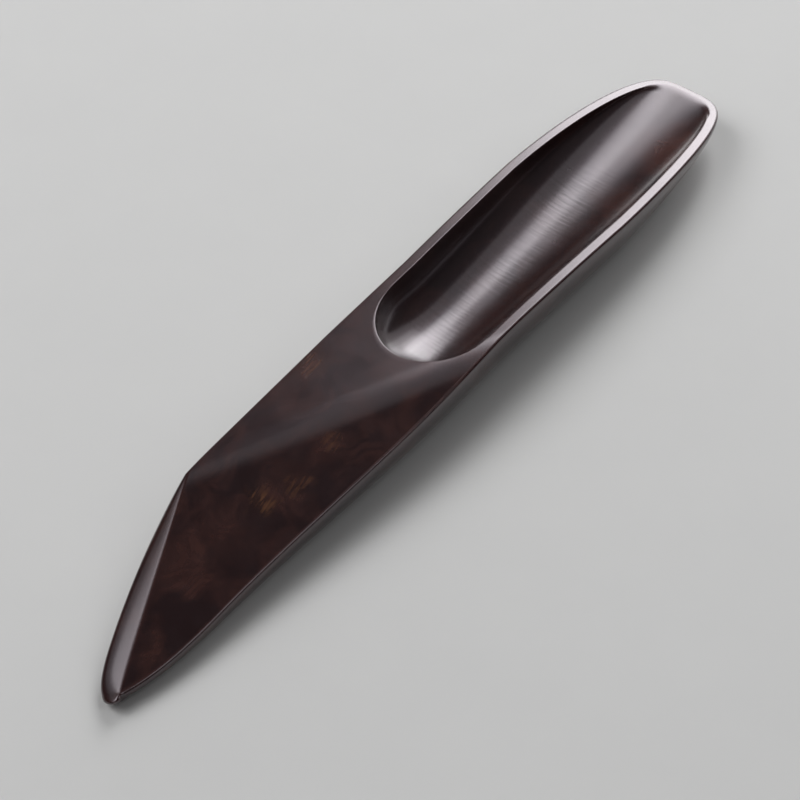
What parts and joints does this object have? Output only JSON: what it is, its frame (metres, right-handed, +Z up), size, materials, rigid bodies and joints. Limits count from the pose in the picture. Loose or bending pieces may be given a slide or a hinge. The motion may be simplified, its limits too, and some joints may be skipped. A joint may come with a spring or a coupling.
{
  "type": "tea scoop",
  "caption": "Tea scoop carved from a stick of dark polished hardwood, with a long open bowl at one end and an oblique pointed tail with a bevelled spine at the other.",
  "frame": {"origin": "on the surface that the scoop rests on, under the middle of its length and width", "axes": "+X along the scoop from the pointed tail to the bowl's front lip, +Y to the side with the bevelled spine, +Z up out of the bowl"},
  "size_m": [0.168, 0.0256, 0.0125],
  "materials": {
    "dark_hardwood": "polished satin, almost black with a reddish-brown figure"
  },
  "bodies": {
    "root": {"scoop_body": "dark_hardwood"}
  },
  "joints": []
}
